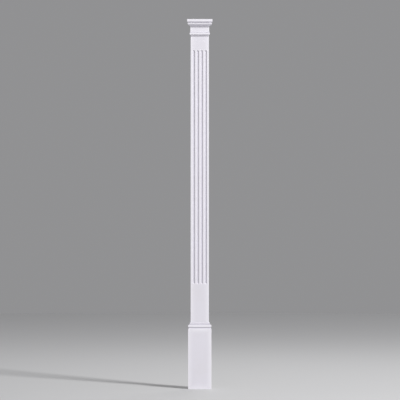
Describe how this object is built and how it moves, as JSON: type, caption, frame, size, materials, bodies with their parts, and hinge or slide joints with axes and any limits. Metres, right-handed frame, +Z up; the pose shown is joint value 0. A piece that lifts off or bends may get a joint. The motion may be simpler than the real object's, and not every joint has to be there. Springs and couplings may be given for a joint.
{
  "type": "pilaster",
  "caption": "Flat fluted wall pilaster in three moulded pieces: a plain plinth block with a bead, a shaft with round-ended flutes and a capital with an ogee crown.",
  "frame": {"origin": "The middle of the shaft's flat back, on the wall plane that the pilaster is fixed to.", "axes": "+Z runs up the pilaster from plinth to capital. +Y points into the wall, so the fluted front faces -Y. +X is to the right as seen from the front, with +Y away from the viewer."},
  "size_m": [0.1356, 0.0408, 1.9626],
  "materials": {
    "white_primer": "satin white factory primer on moulded rigid foam"
  },
  "bodies": {
    "root": {"capital": "white_primer", "shaft": "white_primer", "base": "white_primer"}
  },
  "joints": []
}
